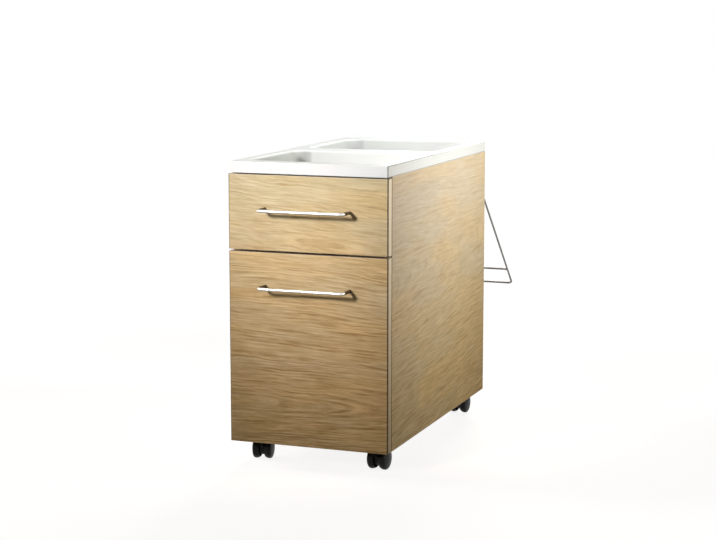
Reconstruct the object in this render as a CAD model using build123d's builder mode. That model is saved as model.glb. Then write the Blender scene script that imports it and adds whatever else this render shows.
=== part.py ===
from build123d import *
from math import cos, radians, sin, tan
import os

os.makedirs("parts", exist_ok=True)

# A mobile file pedestal. X runs across the cabinet, Y from its front to its back, Z up.
# The origin is on the floor, in the middle of the whole object's plan. All sizes in millimetres.

# Cabinet boards
cabinet_width = 300.0
carcass_depth = 557.0
side_height = 486.0
side_thickness = 16.0
bottom_thickness = 19.0
back_thickness = 16.0
arris_radius = 0.8

# Drawer fronts, which cover the front edges of the cabinet
front_thickness = 19.0
front_seat_gap = 1.5
upper_front_height = 134.0
split_gap = 3.5
tray_gap = 2.5
front_arris = 1.0

# Moulded top tray with two wells
tray_thickness = 20.0
tray_skin = 4.0
tray_wall = 3.0
tray_edge_radius = 1.5
well_depth = 45.0
well_corner_radius = 30.0
well_floor_radius = 8.0
well_mouth_radius = 1.2
well_draft = 2.0
side_rim = 20.0
front_rim = 28.0
rear_rim = 29.5
divider_width = 48.0
rib_thickness = 2.5
rib_pitch = 58.0
tray_boss_diameter = 10.0
tray_boss_spacing = 160.0
tray_screw_diameter = 4.0
tray_screw_head = 8.0
tray_screw_head_height = 3.0
tray_screw_grip = 9.0

# Rails between the side panels
rail_thickness = 16.0
front_rail_depth = 60.0
support_rail_play = 2.0

# Dowels that join the boards to the side panels
dowel_diameter = 8.0
dowel_length = 30.0
dowel_seat = 10.0
dowel_chamfer = 0.8
dowel_end_play = 1.0
dowel_inset = 60.0
front_rail_dowel_spacing = 30.0
support_rail_dowel_spacing = 18.0

# Bumpers on the cabinet's front edges
bumper_diameter = 7.0
bumper_height = 1.2
bumper_inset = 30.0

# Full extension slides, three channels each
slide_thickness = 12.7
slide_height = 45.7
slide_sheet = 1.2
slide_setback = 2.0
slide_rear_space = 39.0
slide_lift = 8.0
outer_lip = 2.45
middle_lip = 2.3
slide_play = 0.4
outer_depth = 10.5
middle_setback = 2.2
middle_depth = 9.4
inner_depth = 8.5

# Drawer boxes
box_board = 12.0
box_bottom_thickness = 4.0
box_bottom_lift = 10.0
box_groove_depth = 6.0
box_clearance = 8.0
upper_box_headroom = 5.0
lower_box_headroom = 40.0

# Cross rails for hanging files
file_rail_spacing = 330.0
file_rail_first = 30.0
file_rail_thickness = 2.5
file_rail_height = 14.0
file_rail_lip = 3.0
file_rail_hook = 8.0
file_rail_hook_wall = 2.0

# Bow handles
handle_rod = 6.0
handle_centres = 160.0
handle_stand_off = 35.0
handle_bend = 8.0
handle_drop = 60.0
handle_screw_diameter = 4.0
handle_screw_clearance = 0.5
handle_screw_grip = 12.0
handle_screw_head = 8.0
handle_screw_head_height = 2.4

# Twin wheel casters
wheel_diameter = 40.0
wheel_gap = 9.4
wheel_width = 15.0
wheel_rim = 3.0
wheel_hub_diameter = 9.0
wheel_face_wall = 5.0
wheel_face_fall = 2.4
wheel_shoulder_depth = 3.4
tread_set_back = 7.0
tread_bevel = 1.5
hub_end_wall = 2.5
axle_end_play = 0.3
caster_trail = 15.0
caster_side_inset = 39.0
caster_end_inset = 48.0
web_thickness = 8.2
web_radius = 13.0
hood_clearance = 0.8
hood_wall = 1.8
hood_width = 33.4
hood_lower_edge = 13.0
web_lower_edge = 6.5
swivel_gap = 1.4
collar_height = 1.0
collar_diameter = 11.0
kingpin_diameter = 6.0
kingpin_length = 18.5
running_play = 0.05
axle_diameter = 4.0
insert_diameter = 11.0
insert_length = 13.0
insert_flange_diameter = 17.0
insert_flange_height = 1.2
stud_diameter = 8.0
stud_length = 11.0

# Swivel of each caster at rest, in degrees about Z
caster_swivels = {
    "front_left": 10.0,
    "front_right": -4.0,
    "rear_left": 6.0,
    "rear_right": -2.0,
}

# Wire rack behind the cabinet
rack_wire = 4.0
rack_reach = 237.0
rack_rail_height = 183.5
rack_hole_height = 401.0
rack_hole_depth = 30.0
rack_lead = 7.3
rack_top_bend = 10.0
rack_corner_bend = 8.0
rack_rail_spacing = 51.0
ferrule_diameter = 10.0
ferrule_height = 1.0

# Levels above the floor
caster_height = wheel_diameter + hood_clearance + hood_wall + swivel_gap
base_z = caster_height
tray_seat_z = base_z + side_height
top_z = tray_seat_z + tray_thickness
upper_front_top_z = tray_seat_z - tray_gap
upper_front_bottom_z = upper_front_top_z - upper_front_height
lower_front_top_z = upper_front_bottom_z - split_gap
well_floor_z = top_z - well_depth
rail_top_z = well_floor_z - tray_wall
rail_bottom_z = rail_top_z - rail_thickness

# Places from the front of the object to its back
cabinet_depth = front_thickness + front_seat_gap + carcass_depth
handle_reach = handle_stand_off + handle_rod / 2
overall_depth = handle_reach + cabinet_depth + rack_reach + rack_wire / 2
front_y = handle_reach - overall_depth / 2
front_back_y = front_y + front_thickness
carcass_y = front_back_y + front_seat_gap
back_y = carcass_y + carcass_depth
back_inner_y = back_y - back_thickness
slide_start_y = carcass_y + slide_setback
slide_end_y = back_inner_y - slide_rear_space
slide_length = slide_end_y - slide_start_y
well_length = (cabinet_depth - front_rim - rear_rim - divider_width) / 2
divider_y = front_y + front_rim + well_length + divider_width / 2

# Places across the cabinet
half_width = cabinet_width / 2
inner_half = half_width - side_thickness
side_middle_x = half_width - side_thickness / 2
box_half = inner_half - slide_thickness
box_inner_half = box_half - box_board
well_width = cabinet_width - 2 * side_rim

sides = {"left": -1, "right": 1}


def save(builder, node_name):
    """Label a finished piece and write its STEP file."""
    builder.part.label = node_name
    export_step(builder.part, f"parts/{node_name}.step")


def board(x_range, y_range, z_range):
    """Add a plain board, given its limits along each axis, to the part being built."""
    x_low, x_high = x_range
    y_low, y_high = y_range
    z_low, z_high = z_range
    centre = ((x_low + x_high) / 2, (y_low + y_high) / 2)
    with BuildSketch(Plane.XY.offset(z_low)) as outline:
        with Locations(centre):
            Rectangle(x_high - x_low, y_high - y_low)
    extrude(outline.sketch, amount=z_high - z_low)


def spread(low, high, count):
    """Give evenly spaced places, the first at low and the last at high."""
    return [low + (high - low) * index / (count - 1) for index in range(count)]


# Dowels: their places along Y and Z on the side panels' inner faces, for each board that they carry
support_rail_low_z = tray_seat_z - rail_thickness
front_rail_y = carcass_y + front_rail_depth / 2
front_rail_reach = front_rail_dowel_spacing / 2
support_rail_reach = support_rail_dowel_spacing / 2
dowel_places = {
    "bottom": [
        (y, base_z + bottom_thickness / 2)
        for y in spread(carcass_y + dowel_inset, back_inner_y - dowel_inset, 4)
    ],
    "back": [
        (back_y - back_thickness / 2, z) for z in spread(base_z + dowel_inset, tray_seat_z - dowel_inset, 4)
    ],
    "front_rail": [
        (y, rail_top_z - rail_thickness / 2)
        for y in spread(front_rail_y - front_rail_reach, front_rail_y + front_rail_reach, 2)
    ],
    "support_rail": [
        (y, tray_seat_z - rail_thickness / 2)
        for y in spread(divider_y - support_rail_reach, divider_y + support_rail_reach, 2)
    ],
}


def dowel_sketch(x, places):
    """Draw a circle for each dowel, on a plane square to X."""
    with BuildSketch(Plane(origin=(x, 0, 0), x_dir=(0, 1, 0), z_dir=(1, 0, 0))) as circles:
        with Locations(*places):
            Circle(dowel_diameter / 2)
    return circles.sketch


def drill_board_ends(board_name):
    """Drill both ends of the board being built for its dowels."""
    for sign in sides.values():
        holes = dowel_sketch(sign * inner_half, dowel_places[board_name])
        extrude(holes, amount=-sign * (dowel_length - dowel_seat + dowel_end_play), mode=Mode.SUBTRACT)


# Cabinet: side panels, with holes for the dowels and, in the rear edge, for the rack's wire
all_dowel_places = [place for places in dowel_places.values() for place in places]
rack_hole_z = base_z + rack_hole_height
for side, sign in sides.items():
    inner_face, outer_face = sorted((sign * inner_half, sign * half_width))
    with BuildPart() as side_panel:
        board((inner_face, outer_face), (carcass_y, back_y), (base_z, tray_seat_z))
        outside = side_panel.faces().sort_by(Axis.X)[-1 if sign > 0 else 0]
        fillet(outside.edges(), radius=arris_radius)
        dowel_holes = dowel_sketch(sign * inner_half, all_dowel_places)
        extrude(dowel_holes, amount=sign * (dowel_seat + dowel_end_play), mode=Mode.SUBTRACT)
        rear_edge = Plane(origin=(sign * side_middle_x, back_y, rack_hole_z), z_dir=(0, 1, 0))
        with BuildSketch(rear_edge):
            Circle(rack_wire / 2)
        extrude(amount=-rack_hole_depth, mode=Mode.SUBTRACT)
    save(side_panel, f"side_panel_{side}")

# Cabinet: bottom panel, drilled for the caster inserts
caster_x = half_width - caster_side_inset
caster_places = {
    "front_left": (-caster_x, front_y + caster_end_inset),
    "front_right": (caster_x, front_y + caster_end_inset),
    "rear_left": (-caster_x, back_y - caster_end_inset),
    "rear_right": (caster_x, back_y - caster_end_inset),
}
bottom_top_z = base_z + bottom_thickness
with BuildPart() as bottom_panel:
    board((-inner_half, inner_half), (carcass_y, back_inner_y), (base_z, bottom_top_z))
    drill_board_ends("bottom")
    with BuildSketch(Plane.XY.offset(base_z)):
        with Locations(*caster_places.values()):
            Circle(insert_diameter / 2)
    extrude(amount=insert_length, mode=Mode.SUBTRACT)
    with BuildSketch(Plane.XY.offset(base_z)):
        with Locations(*caster_places.values()):
            Circle(insert_flange_diameter / 2)
    extrude(amount=insert_flange_height, mode=Mode.SUBTRACT)
save(bottom_panel, "bottom_panel")

# Cabinet: back panel, between the side panels and flush with their rear edges
with BuildPart() as back_panel:
    board((-inner_half, inner_half), (back_inner_y, back_y), (base_z, tray_seat_z))
    drill_board_ends("back")
save(back_panel, "back_panel")

# Cabinet: cross rail that carries the front well
with BuildPart() as front_cross_rail:
    board((-inner_half, inner_half), (carcass_y, carcass_y + front_rail_depth), (rail_bottom_z, rail_top_z))
    drill_board_ends("front_rail")
save(front_cross_rail, "front_cross_rail")

# Top tray: the places of its wells
front_well_y = front_y + front_rim + well_length / 2
rear_well_y = back_y - rear_rim - well_length / 2
well_centres = ((0, front_well_y), (0, rear_well_y))
tray_middle_y = front_y + cabinet_depth / 2

# Cabinet: rail under the tray's divider, drilled for the tray's two screws
support_rail_depth = divider_width - 2 * tray_wall - 2 * support_rail_play
tray_screw_x = (-tray_boss_spacing / 2, tray_boss_spacing / 2)
tray_screw_places = tuple((x, divider_y) for x in tray_screw_x)
with BuildPart() as tray_support_rail:
    rail_y = (divider_y - support_rail_depth / 2, divider_y + support_rail_depth / 2)
    board((-inner_half, inner_half), rail_y, (support_rail_low_z, tray_seat_z))
    drill_board_ends("support_rail")
    with BuildSketch(Plane.XY.offset(support_rail_low_z)):
        with Locations(*tray_screw_places):
            Circle(tray_screw_diameter / 2)
    extrude(amount=rail_thickness, mode=Mode.SUBTRACT)
save(tray_support_rail, "tray_support_rail")

# Cabinet: dowels with chamfered ends
with BuildPart() as panel_dowels:
    for sign in sides.values():
        extrude(dowel_sketch(sign * (inner_half + dowel_seat), all_dowel_places), amount=-sign * dowel_length)
    chamfer(panel_dowels.edges().filter_by(GeomType.CIRCLE), length=dowel_chamfer)
save(panel_dowels, "panel_dowels")

# Top tray: a moulded shell with a skirt, two drafted wells, ribs under the rims and screw bosses
underside_z = top_z - tray_skin
rib_depth = underside_z - tray_seat_z
front_rib_y = front_y + (tray_skin + front_rim - tray_wall) / 2
rear_rib_y = back_y - (tray_skin + rear_rim - tray_wall) / 2
side_rib_x = half_width - (tray_skin + side_rim - tray_wall) / 2
rim_rib_count = int(well_width // rib_pitch)
side_rib_count = int(well_length // rib_pitch)
with BuildPart() as top_tray:
    with BuildSketch(Plane.XY.offset(tray_seat_z)):
        with Locations((0, tray_middle_y)):
            Rectangle(cabinet_width, cabinet_depth)
    extrude(amount=tray_thickness)
    fillet(top_tray.edges().filter_by(Axis.Z), radius=tray_edge_radius)
    fillet(top_tray.faces().sort_by(Axis.Z)[-1].edges(), radius=tray_edge_radius)
    with BuildSketch(Plane.XY.offset(tray_seat_z)):
        with Locations((0, tray_middle_y)):
            Rectangle(cabinet_width - 2 * tray_skin, cabinet_depth - 2 * tray_skin)
    extrude(amount=rib_depth, mode=Mode.SUBTRACT)
    with BuildSketch(Plane.XY.offset(tray_seat_z)):
        with Locations((0, front_rib_y)):
            with GridLocations(rib_pitch, 1, rim_rib_count, 1):
                Rectangle(rib_thickness, front_rim - tray_skin)
        with Locations((0, rear_rib_y)):
            with GridLocations(rib_pitch, 1, rim_rib_count, 1):
                Rectangle(rib_thickness, rear_rim - tray_skin)
        with Locations((0, divider_y)):
            with GridLocations(rib_pitch, 1, rim_rib_count, 1):
                Rectangle(rib_thickness, divider_width)
        for centre in well_centres:
            with Locations(centre):
                with GridLocations(2 * side_rib_x, rib_pitch, 2, side_rib_count):
                    Rectangle(side_rim - tray_skin, rib_thickness)
        with Locations(*tray_screw_places):
            Circle(tray_boss_diameter / 2)
    extrude(amount=rib_depth)
    with BuildSketch(Plane.XY.offset(top_z - tray_skin / 2)):
        with Locations(*well_centres):
            RectangleRounded(
                well_width + 2 * tray_wall, well_length + 2 * tray_wall, well_corner_radius + tray_wall
            )
    extrude(amount=well_depth + tray_wall - tray_skin / 2, dir=(0, 0, -1), taper=well_draft)
    with BuildSketch(Plane.XY.offset(top_z)):
        with Locations(*well_centres):
            RectangleRounded(well_width, well_length, well_corner_radius)
    extrude(amount=well_depth, dir=(0, 0, -1), taper=well_draft, mode=Mode.SUBTRACT)
    floor_edges = top_tray.faces().filter_by(Plane.XY).filter_by_position(
        Axis.Z, well_floor_z - 0.1, well_floor_z + 0.1
    ).edges()
    fillet(floor_edges, radius=well_floor_radius)
    top_face = top_tray.faces().sort_by(Axis.Z)[-1]
    mouth_edges = [edge for wire in top_face.inner_wires() for edge in wire.edges()]
    fillet(mouth_edges, radius=well_mouth_radius)
    with BuildSketch(Plane.XY.offset(tray_seat_z)):
        with Locations(*tray_screw_places):
            Circle(tray_screw_diameter / 2)
    extrude(amount=tray_screw_grip, mode=Mode.SUBTRACT)
save(top_tray, "top_tray")

# Screws that hold the tray down, driven up through the support rail
with BuildPart() as tray_screws:
    with BuildSketch(Plane.XY.offset(support_rail_low_z - tray_screw_head_height)):
        with Locations(*tray_screw_places):
            Circle(tray_screw_head / 2)
    extrude(amount=tray_screw_head_height)
    with BuildSketch(Plane.XY.offset(support_rail_low_z)):
        with Locations(*tray_screw_places):
            Circle(tray_screw_diameter / 2)
    extrude(amount=rail_thickness + tray_screw_grip)
save(tray_screws, "tray_screws")

# Bumpers on the side panels' front edges, two for each front on each side
bumper_levels = (
    base_z + bumper_inset,
    lower_front_top_z - bumper_inset,
    upper_front_bottom_z + bumper_inset,
    upper_front_top_z - bumper_inset,
)
bumper_plane = Plane(origin=(0, carcass_y, 0), x_dir=(1, 0, 0), z_dir=(0, -1, 0))
with BuildPart() as front_bumpers:
    with BuildSketch(bumper_plane):
        for level in bumper_levels:
            with Locations((-side_middle_x, level), (side_middle_x, level)):
                Circle(bumper_diameter / 2)
    extrude(amount=bumper_height)
save(front_bumpers, "front_bumpers")


def channel(sign, centre_z, near, far, half_height, lip, opens_inward):
    """Add one rolled channel of a slide, its back near or far from the side panel."""
    depth = far - near
    plane = Plane(
        origin=(sign * inner_half, slide_start_y, centre_z), x_dir=(-sign, 0, 0), z_dir=(0, 1, 0)
    )
    hollow_shift = slide_sheet if opens_inward else -slide_sheet
    with BuildSketch(plane) as section:
        with Locations((near + depth / 2, 0)):
            Rectangle(depth, 2 * half_height)
        with Locations((near + depth / 2 + hollow_shift / 2, 0)):
            Rectangle(depth - slide_sheet, 2 * (half_height - slide_sheet), mode=Mode.SUBTRACT)
        if lip:
            lip_place = half_height - slide_sheet - lip / 2
            with Locations((far - slide_sheet / 2, lip_place), (far - slide_sheet / 2, -lip_place)):
                Rectangle(slide_sheet, lip)
    extrude(section.sketch, amount=slide_length)


# Slides: half heights of the three channels, each just inside the lips of the one around it
outer_half = slide_height / 2
middle_half = outer_half - slide_sheet - outer_lip - slide_play
inner_slide_half = middle_half - slide_sheet - middle_lip - slide_play

# Drawer boxes: levels of each box and of its slides
drawer_levels = {
    "upper": {
        "front": (upper_front_bottom_z, upper_front_top_z),
        "box": (upper_front_bottom_z + box_clearance, rail_bottom_z - upper_box_headroom),
    },
    "lower": {
        "front": (base_z, lower_front_top_z),
        "box": (bottom_top_z + box_clearance, lower_front_top_z - lower_box_headroom),
    },
}
box_front_inner_y = front_back_y + box_board
box_back_inner_y = slide_end_y - box_board

for drawer, levels in drawer_levels.items():
    front_low, front_high = levels["front"]
    box_low, box_high = levels["box"]
    slide_z = box_low + slide_lift + outer_half
    handle_z = front_high - handle_drop
    board_low = box_low + box_bottom_lift
    board_high = board_low + box_bottom_thickness
    screw_places = ((-handle_centres / 2, handle_z), (handle_centres / 2, handle_z))
    screw_hole = handle_screw_diameter + handle_screw_clearance
    inner_plane = Plane(origin=(0, box_front_inner_y, 0), x_dir=(1, 0, 0), z_dir=(0, -1, 0))

    for side, sign in sides.items():
        with BuildPart() as slide_outer:
            channel(sign, slide_z, 0, outer_depth, outer_half, outer_lip, True)
        save(slide_outer, f"{drawer}_slide_outer_{side}")

        middle_far = middle_setback + middle_depth
        with BuildPart() as slide_middle:
            channel(sign, slide_z, middle_setback, middle_far, middle_half, middle_lip, True)
        save(slide_middle, f"{drawer}_slide_middle_{side}")

        inner_near = slide_thickness - inner_depth
        with BuildPart() as slide_inner:
            channel(sign, slide_z, inner_near, slide_thickness, inner_slide_half, 0, False)
        save(slide_inner, f"{drawer}_slide_inner_{side}")

        side_faces = sorted((sign * box_inner_half, sign * box_half))
        groove_faces = sorted((sign * box_inner_half, sign * (box_inner_half + box_groove_depth)))
        with BuildPart() as box_side:
            board(side_faces, (front_back_y, slide_end_y), (box_low, box_high))
            groove_y = (box_front_inner_y - box_groove_depth + slide_end_y) / 2
            with BuildSketch(Plane.XY.offset(board_low)):
                with Locations((sum(groove_faces) / 2, groove_y)):
                    Rectangle(box_groove_depth, slide_end_y - box_front_inner_y + box_groove_depth)
            extrude(amount=box_bottom_thickness, mode=Mode.SUBTRACT)
        save(box_side, f"{drawer}_box_side_{side}")

    with BuildPart() as drawer_front:
        board((-half_width, half_width), (front_y, front_back_y), (front_low, front_high))
        fillet(drawer_front.faces().sort_by(Axis.Y)[0].edges(), radius=front_arris)
        with BuildSketch(inner_plane):
            with Locations(*screw_places):
                Circle(screw_hole / 2)
        extrude(amount=front_thickness + box_board, mode=Mode.SUBTRACT)
    save(drawer_front, f"{drawer}_front")

    with BuildPart() as box_front:
        board((-box_inner_half, box_inner_half), (front_back_y, box_front_inner_y), (box_low, box_high))
        with BuildSketch(Plane.XY.offset(board_low)):
            with Locations((0, box_front_inner_y - box_groove_depth / 2)):
                Rectangle(2 * box_inner_half, box_groove_depth)
        extrude(amount=box_bottom_thickness, mode=Mode.SUBTRACT)
        with BuildSketch(inner_plane):
            with Locations(*screw_places):
                Circle(screw_hole / 2)
        extrude(amount=box_board, mode=Mode.SUBTRACT)
    save(box_front, f"{drawer}_box_front")

    with BuildPart() as box_bottom:
        reach = box_inner_half + box_groove_depth
        board((-reach, reach), (box_front_inner_y - box_groove_depth, slide_end_y), (board_low, board_high))
    save(box_bottom, f"{drawer}_box_bottom")

    with BuildPart() as box_back:
        board((-box_inner_half, box_inner_half), (box_back_inner_y, slide_end_y), (board_high, box_high))
    save(box_back, f"{drawer}_box_back")

    bar_y = front_y - handle_stand_off
    leg_x = handle_centres / 2
    foot_plane = Plane(origin=(0, front_y, 0), x_dir=(1, 0, 0), z_dir=(0, -1, 0))
    with BuildPart() as handle:
        with BuildLine():
            FilletPolyline(
                (-leg_x, front_y, handle_z),
                (-leg_x, bar_y, handle_z),
                (leg_x, bar_y, handle_z),
                (leg_x, front_y, handle_z),
                radius=handle_bend,
            )
        with BuildSketch(foot_plane):
            with Locations((-leg_x, handle_z)):
                Circle(handle_rod / 2)
        sweep()
        with BuildSketch(foot_plane):
            with Locations(*screw_places):
                Circle(handle_screw_diameter / 2)
        extrude(amount=handle_screw_grip, mode=Mode.SUBTRACT)
    save(handle, f"{drawer}_handle")

    with BuildPart() as handle_screws:
        with BuildSketch(inner_plane.offset(-handle_screw_head_height)):
            with Locations(*screw_places):
                Circle(handle_screw_head / 2)
        extrude(amount=handle_screw_head_height)
        with BuildSketch(inner_plane):
            with Locations(*screw_places):
                Circle(handle_screw_diameter / 2)
        extrude(amount=box_board + front_thickness + handle_screw_grip)
    save(handle_screws, f"{drawer}_handle_screws")

# Cross rails for hanging files: strips on edge whose hooked ends sit over the lower box's sides
lower_box_top = drawer_levels["lower"]["box"][1]
first_file_rail_y = box_front_inner_y + file_rail_first
file_rail_places = (first_file_rail_y, first_file_rail_y + file_rail_spacing)
hook_reach = box_half + file_rail_hook_wall
with BuildPart() as file_rails:
    for rail_y in file_rail_places:
        with BuildSketch(Plane(origin=(0, rail_y, lower_box_top), x_dir=(1, 0, 0), z_dir=(0, -1, 0))):
            with Locations((0, file_rail_lip - file_rail_height / 2)):
                Rectangle(2 * box_inner_half, file_rail_height)
            with Locations((0, file_rail_lip / 2)):
                Rectangle(2 * hook_reach, file_rail_lip)
            hook_x = box_half + file_rail_hook_wall / 2
            with Locations((-hook_x, -file_rail_hook / 2), (hook_x, -file_rail_hook / 2)):
                Rectangle(file_rail_hook_wall, file_rail_hook)
        extrude(amount=-file_rail_thickness)
save(file_rails, "file_rails")

# Casters: inserts in the bottom panel and the kingpins screwed into them
with BuildPart() as caster_inserts:
    with BuildSketch(Plane.XY.offset(base_z)):
        with Locations(*caster_places.values()):
            Circle(insert_flange_diameter / 2)
            Circle(stud_diameter / 2, mode=Mode.SUBTRACT)
    extrude(amount=insert_flange_height)
    with BuildSketch(Plane.XY.offset(base_z + insert_flange_height)):
        with Locations(*caster_places.values()):
            Circle(insert_diameter / 2)
            Circle(stud_diameter / 2, mode=Mode.SUBTRACT)
    extrude(amount=insert_length - insert_flange_height)
save(caster_inserts, "caster_inserts")

collar_z = base_z - collar_height
with BuildPart() as caster_kingpins:
    with BuildSketch(Plane.XY.offset(collar_z - kingpin_length)):
        with Locations(*caster_places.values()):
            Circle(kingpin_diameter / 2)
    extrude(amount=kingpin_length)
    with BuildSketch(Plane.XY.offset(collar_z)):
        with Locations(*caster_places.values()):
            Circle(collar_diameter / 2)
    extrude(amount=collar_height)
    with BuildSketch(Plane.XY.offset(base_z)):
        with Locations(*caster_places.values()):
            Circle(stud_diameter / 2)
    extrude(amount=stud_length)
save(caster_kingpins, "caster_kingpins")

# Casters: swivelling housing, axle and two wheels for each place
wheel_radius = wheel_diameter / 2
hood_inner = wheel_radius + hood_clearance
hood_outer = hood_inner + hood_wall
wheel_inner_x = wheel_gap / 2
wheel_outer_x = wheel_inner_x + wheel_width
hub_end_x = wheel_outer_x - hub_end_wall
axle_end_x = hub_end_x - axle_end_play
for place, (stem_x, stem_y) in caster_places.items():
    swivel = radians(caster_swivels[place])
    across = Vector(cos(swivel), sin(swivel), 0)
    trail = Vector(-sin(swivel), cos(swivel), 0)
    stem = Vector(stem_x, stem_y, 0)
    axle_centre = stem + trail * caster_trail + Vector(0, 0, wheel_radius)
    web_plane = Plane(origin=axle_centre, x_dir=trail, z_dir=across)

    with BuildPart() as housing:
        with BuildSketch(web_plane):
            Circle(hood_outer)
            with Locations((0, web_lower_edge)):
                Rectangle(2 * hood_outer, hood_outer, align=(Align.CENTER, Align.MIN), mode=Mode.INTERSECT)
            Circle(web_radius)
        extrude(amount=web_thickness / 2, both=True)
        with BuildSketch(web_plane):
            Circle(hood_outer)
            Circle(hood_inner, mode=Mode.SUBTRACT)
            with Locations((0, hood_lower_edge)):
                Rectangle(2 * hood_outer, hood_outer, align=(Align.CENTER, Align.MIN), mode=Mode.INTERSECT)
        extrude(amount=hood_width / 2, both=True)
        with BuildSketch(Plane(origin=stem + Vector(0, 0, collar_z - kingpin_length), z_dir=(0, 0, 1))):
            Circle(kingpin_diameter / 2 + running_play)
        extrude(amount=kingpin_length, mode=Mode.SUBTRACT)
        with BuildSketch(web_plane):
            Circle(axle_diameter / 2)
        extrude(amount=web_thickness / 2, both=True, mode=Mode.SUBTRACT)
    save(housing, f"caster_{place}_housing")

    with BuildPart() as axle:
        with BuildSketch(web_plane):
            Circle(axle_diameter / 2)
        extrude(amount=axle_end_x, both=True)
    save(axle, f"caster_{place}_axle")

    for side, sign in sides.items():
        outward = across * sign
        profile_plane = Plane(origin=axle_centre, x_dir=outward, z_dir=outward.cross(Vector(0, 0, 1)))
        bore = axle_diameter / 2 + running_play
        hub_radius = wheel_hub_diameter / 2
        cavity_x = wheel_outer_x - wheel_face_wall
        cavity_radius = wheel_radius - wheel_rim
        crown = (wheel_outer_x, 0)
        shoulder = (wheel_outer_x - wheel_face_fall, wheel_radius - wheel_shoulder_depth)
        tread_edge = (wheel_outer_x - tread_set_back, wheel_radius)
        with BuildPart() as wheel:
            with BuildSketch(profile_plane):
                with BuildLine():
                    Line((hub_end_x, 0), crown)
                    TangentArc(crown, shoulder, tangent=(0, 1))
                    TangentArc(tread_edge, shoulder, tangent=(1, 0))
                    Polyline(
                        tread_edge,
                        (wheel_inner_x + tread_bevel, wheel_radius),
                        (wheel_inner_x, wheel_radius - tread_bevel),
                        (wheel_inner_x, cavity_radius),
                        (cavity_x, cavity_radius),
                        (cavity_x, hub_radius),
                        (wheel_inner_x, hub_radius),
                        (wheel_inner_x, bore),
                        (hub_end_x, bore),
                        (hub_end_x, 0),
                    )
                make_face()
            revolve(axis=Axis(origin=axle_centre, direction=outward))
        save(wheel, f"caster_{place}_wheel_{side}")

# Rack: one bent wire whose two ends enter the rear edges of the side panels
rack_rail_y = back_y + rack_reach
rack_rail_z = base_z + rack_rail_height
rack_bend_y = back_y + rack_lead
wire_start_y = back_y - rack_hole_depth
with BuildPart() as rack_loop:
    with BuildLine():
        FilletPolyline(
            (-side_middle_x, wire_start_y, rack_hole_z),
            (-side_middle_x, rack_bend_y, rack_hole_z),
            (-side_middle_x, rack_rail_y, rack_rail_z),
            (side_middle_x, rack_rail_y, rack_rail_z),
            (side_middle_x, rack_bend_y, rack_hole_z),
            (side_middle_x, wire_start_y, rack_hole_z),
            radius=[rack_top_bend, rack_corner_bend, rack_corner_bend, rack_top_bend],
        )
    with BuildSketch(Plane(origin=(-side_middle_x, wire_start_y, rack_hole_z), z_dir=(0, 1, 0))):
        Circle(rack_wire / 2)
    sweep()
save(rack_loop, "rack_loop")

slope_run = rack_rail_y - rack_bend_y
slope_drop = rack_hole_z - rack_rail_z
slope_length = (slope_run ** 2 + slope_drop ** 2) ** 0.5
cross_rail_y = rack_rail_y - rack_rail_spacing * slope_run / slope_length
cross_rail_z = rack_rail_z + rack_rail_spacing * slope_drop / slope_length
with BuildPart() as rack_cross_rail:
    with BuildSketch(Plane(origin=(0, cross_rail_y, cross_rail_z), z_dir=(1, 0, 0))):
        Circle(rack_wire / 2)
    extrude(amount=side_middle_x - rack_wire / 2, both=True)
save(rack_cross_rail, "rack_cross_rail")

with BuildPart() as rack_ferrules:
    for sign in sides.values():
        with BuildSketch(Plane(origin=(sign * side_middle_x, back_y, rack_hole_z), z_dir=(0, 1, 0))):
            Circle(ferrule_diameter / 2)
            Circle(rack_wire / 2, mode=Mode.SUBTRACT)
        extrude(amount=ferrule_height)
save(rack_ferrules, "rack_ferrules")
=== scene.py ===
import math

import bmesh
import bpy
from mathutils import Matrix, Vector


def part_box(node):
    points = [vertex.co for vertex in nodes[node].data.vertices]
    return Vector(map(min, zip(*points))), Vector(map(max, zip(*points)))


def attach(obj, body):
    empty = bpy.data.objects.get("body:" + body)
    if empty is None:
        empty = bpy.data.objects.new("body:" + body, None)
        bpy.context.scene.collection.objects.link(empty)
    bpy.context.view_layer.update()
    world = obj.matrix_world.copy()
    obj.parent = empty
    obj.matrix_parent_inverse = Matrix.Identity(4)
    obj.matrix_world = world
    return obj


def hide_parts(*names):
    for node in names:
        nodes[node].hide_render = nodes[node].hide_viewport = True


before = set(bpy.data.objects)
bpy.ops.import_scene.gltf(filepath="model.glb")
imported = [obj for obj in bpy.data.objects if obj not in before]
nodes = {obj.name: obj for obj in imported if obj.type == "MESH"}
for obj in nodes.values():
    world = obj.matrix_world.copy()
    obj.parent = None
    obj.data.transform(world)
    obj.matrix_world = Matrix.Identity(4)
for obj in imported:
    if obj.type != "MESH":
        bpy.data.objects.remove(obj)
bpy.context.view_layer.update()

# The looks of a mobile file pedestal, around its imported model.
# Metres, +X to the right seen from the front, +Y to the back, +Z up, floor at zero.
print("frame loaded:", len(nodes), "nodes")

quarter = math.pi / 2
mergeReach = 1e-6
noiseMiddle = 0.5


# Small helpers for node trees
def addNode(tree, kind, inputs=None, **settings):
    node = tree.nodes.new(kind)
    for name, value in settings.items():
        setattr(node, name, value)
    for key, value in (inputs or {}).items():
        if isinstance(value, bpy.types.NodeSocket):
            tree.links.new(value, node.inputs[key])
        else:
            node.inputs[key].default_value = value
    return node


def mathOf(tree, operation, first, second=0.0, third=0.0, clamp=False):
    values = {0: first, 1: second, 2: third}
    return addNode(tree, "ShaderNodeMath", values, operation=operation, use_clamp=clamp).outputs[0]


def productOf(tree, first, *others):
    product = first
    for value in others:
        product = mathOf(tree, "MULTIPLY", product, value)
    return product


def vectorOf(tree, operation, first, second):
    return addNode(tree, "ShaderNodeVectorMath", {0: first, 1: second}, operation=operation).outputs[0]


def threeOf(tree, x, y, z):
    return addNode(tree, "ShaderNodeCombineXYZ", {0: x, 1: y, 2: z}).outputs[0]


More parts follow.
